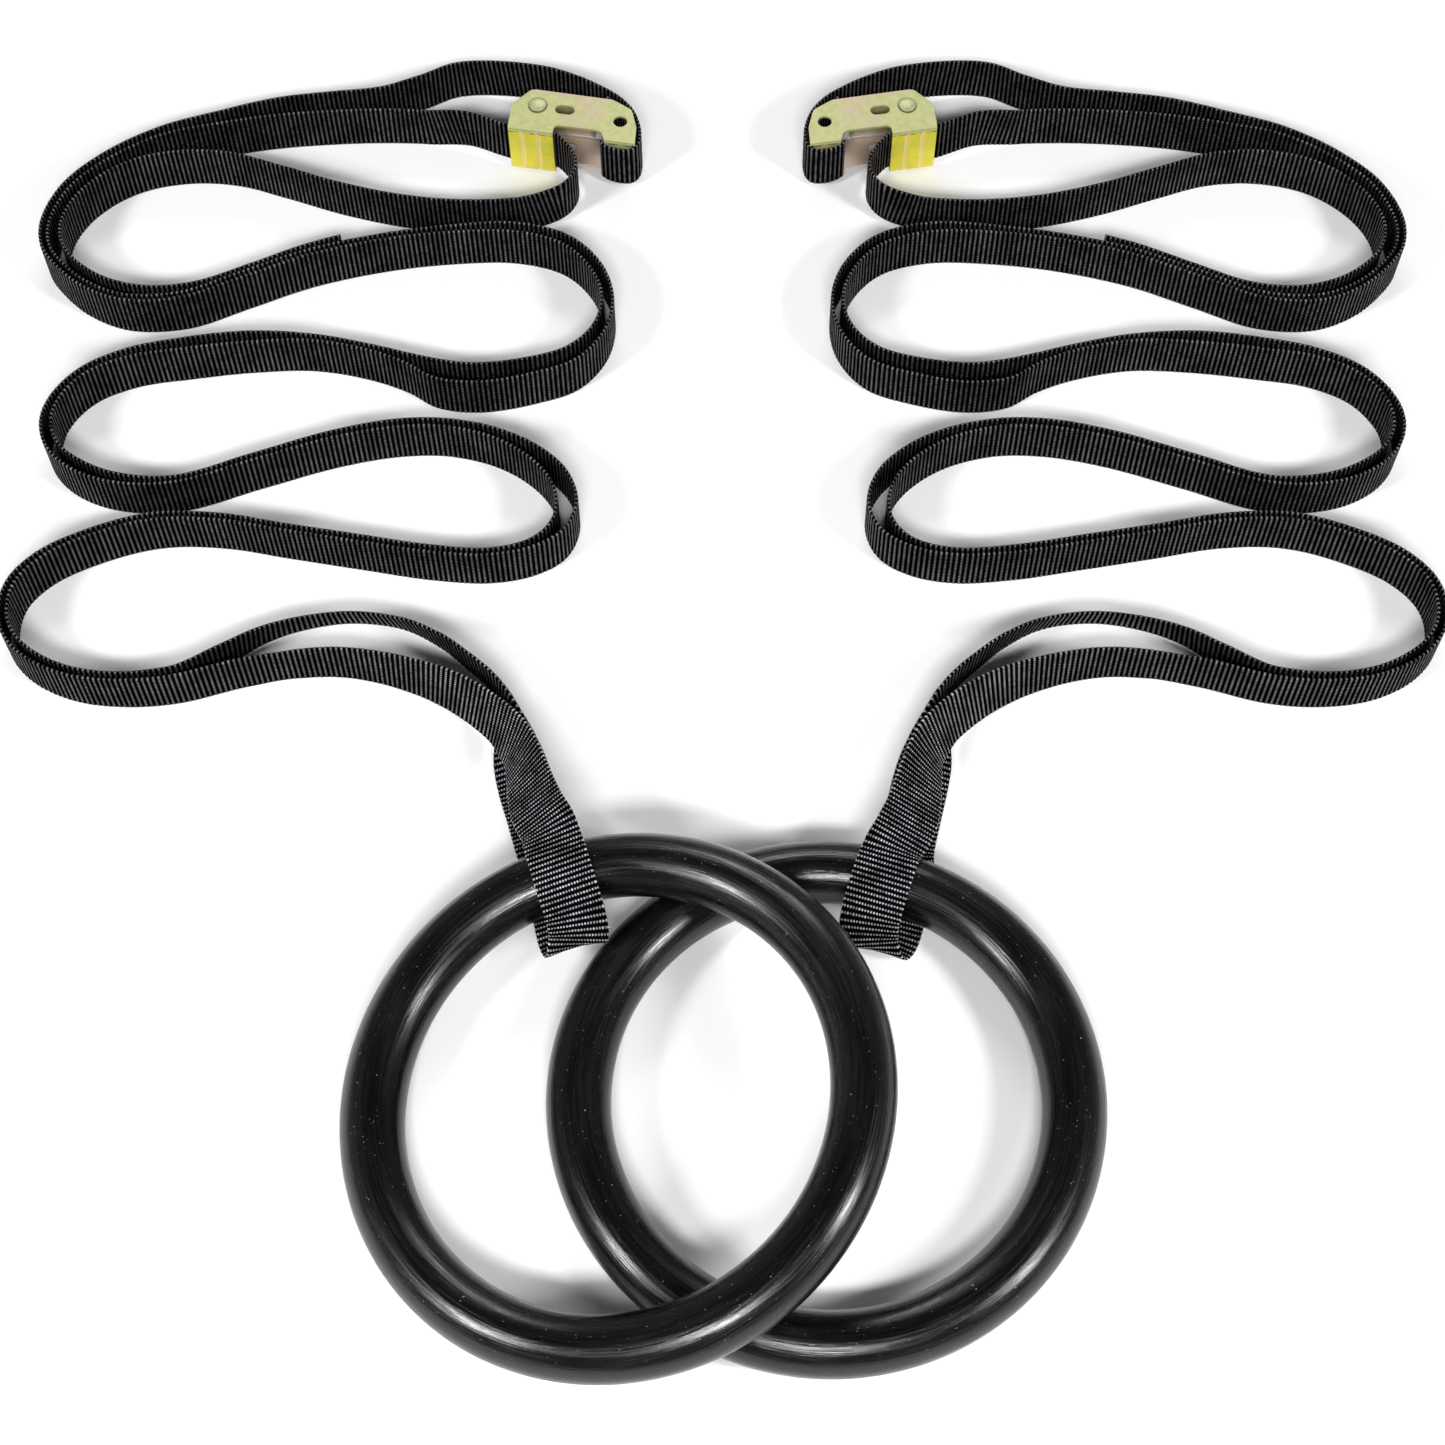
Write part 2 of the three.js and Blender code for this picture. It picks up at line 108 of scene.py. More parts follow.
# ---------------------------------------------------------------- the strap's route, in millimetres
SEWN_FLAP = [
    (44.4, 30.4), (50, 26.8), (55.4, 21.6), (60, 15), (61.4, 9), (59.2, 4.9), (54.6, 2.7), (49.6, 2.55),
]
BAR_WRAP = [
    (47.3, 0.6), (49.4, -1.35), (53, -2.6), (58.6, -3.2), (63.2, -2.1), (65.8, 1.4),
]
FAR_SIDE = [
    (66.1, 8), (64, 15.6), (59.4, 23.8), (53, 29.9), (46.4, 34), (29, 41), (7, 45.2),
]
WAY_IN = [(-24, 8.6), (-7, 4.9), (0, 3.5), (8, 2.6), (16, 2.45), (21.5, 2.45), (24.6, 1.5)]
WAY_OUT = [(28.2, -1.4), (33, -6.2), (36.5, -11.8), (37.6, -17.8), (36.2, -24.6), (32, -30.8)]
FIXED_START = [(-136, 326.4), (-156, 317.6), (-176, 309.8), (-201, 306.5), (-229, 302.3), (-258, 293.5)]
PAIR = [
    (-286, 280.8, 5), (-312, 264.6, 4.4), (-330, 245.5, 4), (-338, 223, 4), (-336.4, 208, 3.6),
    (-329, 196.8, 3.2), (-314.5, 183.8, 3.2), (-294, 175.2, 3.2), (-266, 176.6, 3.2), (-237, 189, 3.2),
    (-206, 202.4, 3.2), (-171, 212, 3.4), (-137, 217.2, 4), (-103, 218.4, 5.4), (-78, 210.6, 5.6),
    (-62.8, 194.6, 5.6), (-56.6, 176, 5.2), (-60.4, 156.6, 6.4), (-73, 141.6, 8.6), (-94, 133.6, 9.6),
    (-119, 129.6, 11), (-138, 132, 10.6), (-153, 138.4, 5.4), (-172, 144.8, 3.2), (-200, 150.6, 3.4),
    (-231, 151, 6), (-261, 147.2, 6.2), (-289, 141.2, 4.6), (-309.5, 130, 3.8), (-321, 113.6, 4.2),
    (-322.8, 100, 5), (-317.6, 87, 5.4), (-305, 76.2, 6), (-286, 69, 5), (-258, 68.4, 3.2), (-222, 81, 3.2),
    (-186, 93.6, 3.6), (-156, 100, 4), (-131, 100.2, 4.2), (-107, 94, 5.4), (-89, 83.4, 7.4),
    (-77.4, 70.4, 9), (-73.2, 56.6, 9.4), (-77, 42.6, 7.4), (-88.4, 33, 4.2), (-108, 28, 3.2),
    (-136, 29.6, 3.4), (-170, 35.4, 3.4), (-204, 41.4, 3.2), (-236, 47.2, 3.2), (-266, 47.4, 3.4),
    (-293, 39.4, 3.2),
    (-316, 26.8, 3.2), (-327.6, 12.6, 3.4), (-330, -3, 4), (-326, -15.2, 4.2), (-315.4, -26.2, 4.4),
    (-297, -35.2, 4), (-274, -38.4, 3.8), (-250, -36, 4.6),
]
TO_RING = [
    ((-219, -29.6, 13.3, 0), UP), ((-194, -25, 13.3, 0), UP), ((-175, -24.2, 13.3, 0), (0, 0.04, 1)),
    ((-156, -27.2, 13.4, 0), (0.02, 0.1, 0.99)), ((-138, -32.6, 13.4, 0), (0.04, 0.2, 0.98)),
    ((-125, -38.4, 13.4, 0), (0.07, 0.29, 0.95)), ((-114.4, -45, 13.6, 0), (0.13, 0.36, 0.92)),
    ((-103.6, -54.3, 14.3, 0.03), (0.25, 0.36, 0.9)), ((-97.6, -62, 15.6, 0.09), (0.38, 0.34, 0.86)),
    ((-93, -70, 17.4, 0.18), (0.48, 0.32, 0.81)), ((-90, -80.2, 19.8, 0.34), (0.62, 0.3, 0.72)),
    ((-86.2, -96.9, 23.6, 0.56), (0.82, 0.24, 0.52)), ((-83, -107.9, 26.4, 0.74), (0.9, 0.22, 0.37)),
    ((-78.4, -118.2, 28.9, 0.89), (0.95, 0.23, 0.2)),
]
FROM_RING = [
    ((-81.6, -114, 1.1, 0.8), (0.97, 0.24, 0)), ((-85, -98.5, 1.1, 0.45), (0.98, 0.2, 0)),
    ((-88.6, -84, 2, 0.15), (0.98, 0.12, 0.1)), ((-91.8, -72.3, 5, 0.02), (0.94, 0, 0.34)),
    ((-94.4, -62, 8.8, 0), (0.76, -0.16, 0.63)), ((-97, -51, 11.9, 0), (0.36, -0.1, 0.93)),
    ((-100.6, -41.2, 12.9, 0), (0.1, -0.1, 0.99)), ((-106.6, -33, 13.1, 0), (0.06, -0.14, 0.99)),
    ((-116.2, -23.8, 13, 0), (0.1, -0.22, 0.97)), ((-130, -12.6, 12.7, 0), (0.16, -0.32, 0.93)),
    ((-148, -3.4, 12.4, 0), (0.18, -0.36, 0.92)), ((-171, 0, 12.6, 0), (0.17, -0.33, 0.93)),
    ((-194, -3.2, 12.7, 0), (0.16, -0.28, 0.95)), ((-212.5, -10, 12.9, 0), (0.13, -0.2, 0.97)),
    ((-230, -21.5, 13.2, 0), (0.06, -0.08, 1)),
]
LIVE_END = [(-258, 285.6), (-232, 290.6), (-205, 293.4), (-178, 294.6), (-152, 293.8)]
TAIL = [
    (-101, 237.2), (-131, 235.6), (-161, 238.8), (-192, 246.6), (-223, 257.6), (-249, 266), (-275, 267.4),
    (-299, 261.4), (-316.5, 249), (-327.2, 233.6), (-330.4, 219), (-327, 206.4), (-317.6, 195.6),
    (-303.4, 186.6), (-284, 181.8), (-260, 184.2), (-232, 196), (-209, 206.6), (-190, 213.4),
]
LOOP = [
    (-9, 14, -1), (-1, WRAP_R, -0.2), (8, 14, 0.4), (16.5, 11.6, 0.9), (24, 7.4, 1), (29.4, 1.4, -0.4),
    (30.8, -4.4, -3.2), (28, -9.8, -6), (21.4, -13.4, -8.2), (11, -WRAP_R, -8.8), (0, -WRAP_R, -8.8),
    (-10, -WRAP_R, -8.4),
]


# ---------------------------------------------------------------- frames of reference
def unit(v):
    v = np.asarray(v, float)
    return v / np.linalg.norm(v, axis=-1, keepdims=True)


def from_buckle(x, y):
    c, s = math.cos(BUCKLE_TURN), math.sin(BUCKLE_TURN)
    return (BUCKLE_AT[0] + x * c - y * s, BUCKLE_AT[1] + x * s + y * c)


def ring_axes(rest):
    turn = Matrix.Rotation(math.radians(rest["far_up"]), 3, "X") @ Matrix.Rotation(
        -math.radians(rest["side_up"]), 3, "Y"
    )
    return np.array(turn).T


def loop_frame(rest):
    side, far, spin = ring_axes(rest)
    a = math.radians(rest["loop"])
    outward = side * math.cos(a) + far * math.sin(a)
    tube = np.array(rest["centre"]) + outward * RING_R
    return tube, -outward, spin, np.cross(spin, -outward)


def placed(points, side):
    """Millimetres of the left-hand drawing to metres of the row frame, mirrored for the right set."""
    out = (np.asarray(points, float).reshape(-1, 3) + (0, CENTRE_Y, 0)) * MM
    return out * (-1, 1, 1) if side == "right" else out


def strap_stops(rest):
    """Every stop of the strap as (place, width direction), with the marks where its three runs meet."""
    tube, inward, spin, across = loop_frame(rest)
    flat_tube, _, _, flat_across = loop_frame(REST["right"])
    move = tube - flat_tube
    lean = across - flat_across

    def upright(points):
        return [((x, y, STAND), UP) for x, y in points]

    def in_buckle(points):
        return [((*from_buckle(x, y), STRAP_Z), UP) for x, y in points]

    def beside(side):
        rows = []
        for i, (x, y, distance) in enumerate(PAIR):
            before, after = PAIR[max(i - 1, 0)], PAIR[min(i + 1, len(PAIR) - 1)]
            tx, ty = unit((after[0] - before[0], after[1] - before[1]))
            shift = side * distance / 2
            rows.append(((x + ty * shift, y - tx * shift, STAND), UP))
        return rows

    def lifted(rows):
        return [(np.array([x, y, z]) + move * k, np.array(w) + lean * k) for (x, y, z, k), w in rows]

    loop = [(tube + inward * i + spin * a + across * s, across) for i, a, s in LOOP]
    first = in_buckle(SEWN_FLAP + BAR_WRAP + FAR_SIDE) + upright(FIXED_START) + beside(1) + lifted(TO_RING)
    second = loop + lifted(FROM_RING) + beside(-1)[::-1] + upright(LIVE_END) + in_buckle(WAY_IN)
    third = in_buckle(WAY_OUT) + upright(TAIL)
    return first + second + third, len(first) + 1, len(first) + len(second) - 2


# ---------------------------------------------------------------- curves
def distances(points):
    """How far along the line each point lies."""
    return np.r_[0, np.cumsum(np.linalg.norm(np.diff(points, axis=0), axis=1))]


def catmull(points):
    """A centripetal Catmull-Rom curve through the points."""
    p = np.asarray(points, float)
    p = np.vstack([2 * p[0] - p[1], p, 2 * p[-1] - p[-2]])
    out = []
    for i in range(1, len(p) - 2):
        d0, d1, d2 = (np.linalg.norm(p[i + k] - p[i + k - 1]) ** 0.5 for k in (0, 1, 2))
        d1 = d1 if d1 >= 1e-4 else 1.0
        d0 = d0 if d0 >= 1e-4 else d1
        d2 = d2 if d2 >= 1e-4 else d1
        m1 = ((p[i] - p[i - 1]) / d0 - (p[i + 1] - p[i - 1]) / (d0 + d1) + (p[i + 1] - p[i]) / d1) * d1
        m2 = ((p[i + 1] - p[i]) / d1 - (p[i + 2] - p[i]) / (d1 + d2) + (p[i + 2] - p[i + 1]) / d2) * d1
        t = np.arange(SAMPLES_PER_SPAN)[:, None] / SAMPLES_PER_SPAN
        out.append(
            (2 * t**3 - 3 * t**2 + 1) * p[i] + (t**3 - 2 * t**2 + t) * m1
            + (3 * t**2 - 2 * t**3) * p[i + 1] + (t**3 - t**2) * m2
        )
    return np.vstack([*out, p[-2:-1]])


def strap_line(rest):
    """The strap at even steps: distance along it, centre, width direction and face direction."""
    stops, ring_mark, window_mark = strap_stops(rest)
    centre = catmull([place for place, _ in stops])
    width = catmull([across for _, across in stops])
    run = distances(centre)
    marks = run[ring_mark * SAMPLES_PER_SPAN], run[window_mark * SAMPLES_PER_SPAN]
    step = RIB_PITCH / STEPS_PER_RIB
    s = np.arange(0, run[-1], step)
    at = np.column_stack([np.interp(s, run, centre[:, k]) for k in range(3)])
    w = np.column_stack([np.interp(s, run, width[:, k]) for k in range(3)])
    along = unit(np.gradient(at, axis=0))
    w = unit(w - along * np.sum(w * along, axis=1, keepdims=True))
    face = np.cross(along, w)
    low = np.abs(w[:, 2]) * WEB_WIDTH / 2 + np.abs(face[:, 2]) * WEB_THICK / 2
    at[:, 2] = np.maximum(at[:, 2], low + GAP)
    return s, at, w, face, [int(round(m / step / STEPS_PER_RIB)) * STEPS_PER_RIB for m in marks]


# ---------------------------------------------------------------- meshes
def mesh_object(name, vertices, faces, smooth=True):
    mesh = bpy.data.meshes.new(name)
    mesh.from_pydata([tuple(v) for v in vertices], [], [tuple(int(i) for i in f) for f in faces])
    mesh.validate()
    if smooth:
        mesh.polygons.foreach_set("use_smooth", np.ones(len(mesh.polygons), bool))
    obj = bpy.data.objects.new(name, mesh)
    bpy.context.scene.collection.objects.link(obj)
    return obj


def give_uv(obj, name, u, v):
    """A UV map in metres from one u and v per vertex."""
    layer = obj.data.uv_layers.new(name=name)
    index = np.zeros(len(obj.data.loops), np.int32)
    obj.data.loops.foreach_get("vertex_index", index)
    layer.data.foreach_set("uv", np.column_stack([u[index], v[index]]).astype(np.float32).ravel())


def webbing(name, side, line, start, end):
    """One run of the strap with its ribs across, its rounded selvedges and both ends closed."""
    s, at, w, face, _ = line
    pick = slice(start, end + 1)
    s, at, w, face = s[pick], at[pick], w[pick], face[pick]
    crown = np.sin(np.pi * s / RIB_PITCH) ** 2
    across = np.array([-1, -0.985, -0.95, -0.82, -0.5, 0, 0.5, 0.82, 0.95, 0.985, 1])
    body = np.array([0.3, 0.72, 0.94, 1, 1, 1, 1, 1, 0.94, 0.72, 0.3])
    across = np.r_[across, across[::-1]]
    body = np.r_[body, -body[::-1]]
    half = WEB_THICK / 2 - RIB_DEPTH * (1 - crown)
    reach = WEB_WIDTH / 2 - EDGE_DEPTH * (1 - crown)
    points = (
        at[:, None] + w[:, None] * (across[None, :, None] * reach[:, None, None])
        + face[:, None] * (body[None, :, None] * half[:, None, None])
    )
    rows, columns = len(s), len(across)
    points = placed(points, side)
    ring = np.arange(columns)
    base = (np.arange(rows - 1) * columns)[:, None]
    after = (ring + 1) % columns
    quads = np.stack([base + ring, base + after, base + after + columns, base + ring + columns], -1)
    quads = quads.reshape(-1, 4)
    caps = [list(ring[::-1]), list(ring + (rows - 1) * columns)]
    if side == "left":
        quads = quads[:, ::-1]
        caps = [c[::-1] for c in caps]
    obj = mesh_object(name, points, [*quads.tolist(), *caps])
    give_uv(obj, "weave", np.repeat(s, columns) * MM, np.tile(across * WEB_WIDTH / 2, rows) * MM)
    return obj, placed(at, side)


def torus(name, side, rest):
    """The moulded ring: a fine round tube with the faint waviness of a moulding."""
    a_axis, b_axis, spin = ring_axes(rest)
    big, small = 320, 96
    turn = np.repeat(np.arange(big) * 2 * np.pi / big, small)
    tube = np.tile(np.arange(small) * 2 * np.pi / small, big)
    wave = 0.03 * np.sin(5 * turn + 1.1) + 0.02 * np.sin(11 * turn + 2 * tube)
    radius = TUBE_R - 0.06 + wave
    out = RING_R + radius * np.cos(tube)
    points = (
        np.array(rest["centre"]) + np.outer(out * np.cos(turn), a_axis)
        + np.outer(out * np.sin(turn), b_axis) + np.outer(radius * np.sin(tube), spin)
    )
    i, j = np.meshgrid(np.arange(big), np.arange(small), indexing="ij")
    i2, j2 = (i + 1) % big, (j + 1) % small
    quads = np.stack([i * small + j, i2 * small + j, i2 * small + j2, i * small + j2], -1).reshape(-1, 4)
    if side == "right":
        quads = quads[:, ::-1]
    obj = mesh_object(name, placed(points, side), quads.tolist())
    for key, angle in (("circle", turn), ("tube", tube)):
        layer = obj.data.attributes.new(key, "FLOAT_VECTOR", "POINT")
        vectors = np.column_stack([np.cos(angle), np.sin(angle), np.zeros(len(angle))])
        layer.data.foreach_set("vector", vectors.astype(np.float32).ravel())
    return obj


def prism(loops, low, high):
    """A flat outline with holes, raised from low to high: a temporary object in buckle coordinates."""
    curve = bpy.data.curves.new("prism", "CURVE")
    curve.dimensions = "2D"
    curve.fill_mode = "BOTH"
    curve.extrude = (high - low) / 2
    for loop in loops:
        spline = curve.splines.new("POLY")
        spline.points.add(len(loop) - 1)
        for point, (x, y) in zip(spline.points, loop):
            point.co = (x, y, 0, 1)
        spline.use_cyclic_u = True
    holder = bpy.data.objects.new("prism", curve)
    bpy.context.scene.collection.objects.link(holder)
    bpy.context.view_layer.update()
    shape = holder.evaluated_get(bpy.context.evaluated_depsgraph_get())
    mesh = bpy.data.meshes.new_from_object(shape)
    bpy.data.objects.remove(holder)
    bm = bmesh.new()
    bm.from_mesh(mesh)
    bmesh.ops.remove_doubles(bm, verts=bm.verts, dist=1e-4)
    bmesh.ops.translate(bm, verts=bm.verts, vec=(0, 0, (low + high) / 2))
    bmesh.ops.dissolve_limit(bm, angle_limit=0.001, verts=bm.verts, edges=bm.edges)
    bmesh.ops.recalc_face_normals(bm, faces=bm.faces)
    bm.to_mesh(mesh)
    bm.free()
    obj = bpy.data.objects.new("prism", mesh)
    bpy.context.scene.collection.objects.link(obj)
    return obj


def combine(base, others, how="UNION"):
    """Joins or cuts the base with the others, which are used up."""
    for other in others:
        step = base.modifiers.new("step", "BOOLEAN")
        step.operation = how
        step.solver = "EXACT"
        step.object = other
        bpy.context.view_layer.update()
        shape = base.evaluated_get(bpy.context.evaluated_depsgraph_get())
        mesh = bpy.data.meshes.new_from_object(shape)
        base.modifiers.clear()
        base.data = mesh
        bpy.data.objects.remove(other)
    return base


def soften(obj, width, segments, chosen=lambda edge: True, least=math.radians(25)):
    """Rounds the sharp edges that are chosen."""
    bm = bmesh.new()
    bm.from_mesh(obj.data)
    bmesh.ops.remove_doubles(bm, verts=bm.verts, dist=2e-4)
    bmesh.ops.dissolve_limit(bm, angle_limit=0.002, verts=bm.verts, edges=bm.edges)
    edges = [
        e for e in bm.edges
        if len(e.link_faces) == 2 and e.calc_face_angle(0) > least and chosen(e)
    ]
    bmesh.ops.bevel(
        bm, geom=edges, offset=width, segments=segments, profile=0.5, affect="EDGES", clamp_overlap=True
    )
    bm.to_mesh(obj.data)
    bm.free()


def settle(obj, name, side):
    """Buckle coordinates in millimetres to the row frame in metres, mirrored for the right set."""
    move = Matrix.Translation((BUCKLE_AT[0], BUCKLE_AT[1] + CENTRE_Y, 0))
    turn = Matrix.Rotation(BUCKLE_TURN, 4, "Z")
    scale = Matrix.Diagonal((-MM if side == "right" else MM, MM, MM, 1))
    mesh = obj.data
    local = np.zeros(len(mesh.vertices) * 3, np.float32)
    mesh.vertices.foreach_get("co", local)
    layer = mesh.attributes.new("local", "FLOAT_VECTOR", "POINT")
    layer.data.foreach_set("vector", local)
    mesh.transform(scale @ move @ turn)
    if side == "right":
        mesh.flip_normals()
    mesh.polygons.foreach_set("use_smooth", np.ones(len(mesh.polygons), bool))
    mesh.set_sharp_from_angle(angle=math.radians(40))
    obj.name = name
    mesh.name = name
    weighted = obj.modifiers.new("weighted", "WEIGHTED_NORMAL")
    weighted.keep_sharp = True
    return obj


def arc(cx, cy, radius, start, end, count):
    angles = np.radians(np.linspace(start, end, count))
    return [(cx + radius * math.cos(a), cy + radius * math.sin(a)) for a in angles]


# ---------------------------------------------------------------- buckle
def bow(start, pull, end, count=7):
    """Points of a quadratic curve after its start."""
    out = []
    for k in range(1, count + 1):
        s = k / count
        out.append(tuple(
            (1 - s) ** 2 * a + 2 * s * (1 - s) * b + s * s * c for a, b, c in zip(start, pull, end)
        ))
    return out


def side_plate_loops(depth):
    b = BAR_START
    outline = [(-0.5, 0), (WALL_END, 0), (WALL_END, 4.2)]
    outline += bow((WALL_END, 4.2), (WALL_END + 0.3, 5.8), (WALL_END + 2.6, 5.8))
    outline += [(b - 6.4, 6.1), *bow((b - 6.4, 6.1), (b - 2.6, 5.8), (b - 1.2, 3.2))]
    outline += [*bow((b - 1.2, 3.2), (b - 0.4, 1), (b + 0.4, 0)), (65, 0), (63.8, 11), (60, 20.6)]
    outline += [*bow((60, 20.6), (59.2, 22.2), (57.4, 22.9)), (50, depth - 0.9)]
    outline += [*bow((50, depth - 0.9), (48.6, depth - 0.3), (46.8, depth - 0.3)), (9, depth)]
    outline += [*bow((9, depth), (7.2, depth - 0.1), (6, depth - 1.1)), (0.2, 18.6)]
    outline += [*bow((0.2, 18.6), (-1.3, 17), (-1.4, 14.6)), (-1, 4)]
    hole = arc(55.1, 13.4, 3.6, 0, 352.5, 48)
    pin = arc(*PIVOT, BORE_R, 0, 345, 24)
    slot = arc(23.7, 16.4, 2.9, 90, 270, 16) + arc(28, 16.4, 2.9, -90, 90, 16)
    return [outline, hole, pin, slot]


def buckle_frame(side):
    levels = ((FOOT, LOW_DEPTH), (FRAME_TOP - PLATE, TOP_DEPTH))
    plates = [prism(side_plate_loops(depth), z, z + PLATE) for z, depth in levels]
    rows = [(-0.5, PLATE), (-0.5, 0)]
    for x in GROOVES:
        rows += [(x - 1.1, 0), (x - 0.6, 0.25), (x, 0.42), (x + 0.6, 0.25), (x + 1.1, 0)]
    rows += [(WALL_END, 0), (WALL_END, PLATE)]
    low, high = FOOT + 0.01, FRAME_TOP - 0.01
    wall = prism([rows], low, high)
    bar = prism([[(BAR_START, 0), (BAR_END, 0), (BAR_END, PLATE), (BAR_START, PLATE)]], low, high)
    obj = combine(plates[0], [plates[1], wall, bar])

    def on_fold(place):
        return place.y < 0.05 and (place.z < FOOT + 0.1 or place.z > FRAME_TOP - 0.1)

    def bend(edge):
        one, two = (vertex.co for vertex in edge.verts)
        return on_fold(one) and on_fold(two) and abs((one - two).normalized().x) > 0.9

    soften(obj, FOLD_R, 4, bend)
    soften(obj, 0.16, 2)
    settle(obj, f"{side}_buckle_frame_plated", side)
    obj.data.materials.append(ZINC)
    return obj


def cam_lever(side):
    px, py = PIVOT
    points = [
        (6.8, 20.8), (9.6, 24.7), (15.4, 26.2), (36.4, 26.7), (38.2, 26.1), (39, 24.7), (38.3, 24),
        (36.6, 25), (17.4, 24.4), (17.5, 17),
    ]
    for i in range(10):
        angle = -58 - i * 7.6
        reach = 11 + 0.054 * (-58 - angle) - (0.7 if i % 2 else 0)
        turn = math.radians(angle)
        points.append((px + reach * math.cos(turn), py + reach * math.sin(turn)))
    points.append((5.8, 13.6))
    low, high = FOOT + PLATE + GAP, FRAME_TOP - PLATE - GAP
    middle = (low + high) / 2
    body = prism([points], low, high)
    bore = prism([arc(px, py, BORE_R, 0, 350, 36)], low - 1, high + 1)
    room = prism([arc(px, py, 6, 0, 350, 36)], middle - 5.5, middle + 5.5)
    slit = [(px - 12, py - 5), (px, py - 5), (px, py + 3), (px - 12, py + 3)]
    mouth = prism([slit], middle - 5.4, middle + 5.4)
    obj = combine(body, [bore, room, mouth], "DIFFERENCE")
    soften(obj, 0.22, 2)
    settle(obj, f"{side}_cam_lever_plated", side)
    obj.data.materials.append(ZINC)
    return obj


def lathe(profile, segments):
    """A closed solid of revolution about z at the rivet's place, in buckle coordinates."""
    vertices, faces = [], []
    inner = profile[1:-1]
    for r, z in inner:
        vertices += [
            (PIVOT[0] + r * math.cos(a), PIVOT[1] + r * math.sin(a), z)
            for a in np.arange(segments) * 2 * math.pi / segments
        ]
    low, high = len(vertices), len(vertices) + 1
    vertices += [(*PIVOT, profile[0][1]), (*PIVOT, profile[-1][1])]
    for k in range(len(inner) - 1):
        for i in range(segments):
            j = (i + 1) % segments
            faces.append((k * segments + i, k * segments + j, (k + 1) * segments + j, (k + 1) * segments + i))
    last = (len(inner) - 1) * segments
    for i in range(segments):
        j = (i + 1) % segments
        faces.append((low, j, i))
        faces.append((high, last + i, last + j))
    return mesh_object("lathe", vertices, faces)


def rivet(side):
    low, high, head, rim, rise = FOOT - 0.06, FRAME_TOP + 0.06, 4.7, 0.5, 1.5
    quarter = np.linspace(0, math.pi / 2, 14)[:-1]
    dome = [(head, 0), *[(head * math.cos(a), rim + (rise - rim) * math.sin(a)) for a in quarter]]
    profile = [(0, low - rise), *[(r, low - h) for r, h in reversed(dome)], (PIN_R, low), (PIN_R, high)]
    profile += [*[(r, high + h) for r, h in dome], (0, high + rise)]
    obj = lathe(profile, 64)
    settle(obj, f"{side}_rivet_domed", side)
    obj.data.materials.append(RIVET)
    return obj


def wire_tube(path, radius, sides):
    """A round wire along a path, closed at both ends, in the path's own coordinates."""
    path = np.asarray(path, float)
    along = unit(np.gradient(path, axis=0))
    normal = unit(np.cross(along[0], (0.3, 0.2, 1)))
    vertices = []
    for p, t in zip(path, along):
        normal = unit(normal - t * np.dot(normal, t))
        other = np.cross(t, normal)
        vertices += [
            p + radius * (normal * math.cos(a) + other * math.sin(a))
            for a in np.arange(sides) * 2 * math.pi / sides
        ]
    faces = []
    for k in range(len(path) - 1):
        for i in range(sides):
            j = (i + 1) % sides
            faces.append((k * sides + i, k * sides + j, (k + 1) * sides + j, (k + 1) * sides + i))
    faces.append(tuple(range(sides))[::-1])
    faces.append(tuple(range((len(path) - 1) * sides, len(path) * sides)))
    return vertices, faces


def return_spring(side):
    """A coil round the rivet with a short straight leg at each end."""
    coil_r, turns, width, leg, wire_r = 3.7, 4.4, 6, 0.08, 0.4
    path = []
    for t in np.linspace(0, 1, 260):
        s = min(max((t - leg) / (1 - 2 * leg), 0), 1)
        angle = math.radians(150) + s * turns * 2 * math.pi
        out = (t - leg if t < leg else max(t - 1 + leg, 0)) * 24
        path.append((
            PIVOT[0] + coil_r * math.cos(angle) - out * math.sin(angle),
            PIVOT[1] + coil_r * math.sin(angle) + out * math.cos(angle),
            STRAP_Z + (s - 0.5) * width,
        ))
    obj = mesh_object("spring", *wire_tube(path, wire_r, 10))
    settle(obj, f"{side}_return_spring_coil", side)
    obj.data.materials.append(SPRING)
    return obj


def sewn_stitching(side):
    """Rows of short raised stitches along both edges of the sewn flap, and one across at each end."""
    flap = catmull([(x, y, STRAP_Z) for x, y in SEWN_FLAP])
    run = distances(flap)
    along = unit(np.gradient(flap, axis=0))

    def spot(distance, z):
        p = np.array([np.interp(distance, run, flap[:, k]) for k in range(3)])
        t = np.array([np.interp(distance, run, along[:, k]) for k in range(3)])
        outward = unit(np.array([t[1], -t[0], 0]))
        return p + outward * WEB_THICK / 2 + (0, 0, z), outward

    vertices, faces = [], []

    def stitch(start, end):
        (a, outward), (b, _) = spot(*start), spot(*end)
        path = [a + (b - a) * k + outward * STITCH_RISE * math.sin(math.pi * k) for k in np.linspace(0, 1, 7)]
        v, f = wire_tube(path, 0.26, 8)
        offset = len(vertices)
        vertices.extend(v)
        faces.extend(tuple(i + offset for i in face) for face in f)

    for z in (-9.8, -9, 9, 9.8):
        for d in np.arange(2.4, 19, STITCH_PITCH):
            stitch((d, z), (d + STITCH_LENGTH, z))
    for d in (2.4, 18.6):
        for z in np.arange(-8.6, 7, STITCH_PITCH):
            stitch((d, z), (d, z + STITCH_LENGTH))
    obj = mesh_object("stitches", vertices, faces)
    settle(obj, f"{side}_sewn_stitching_threads", side)
    obj.data.materials.append(THREAD)
    return obj


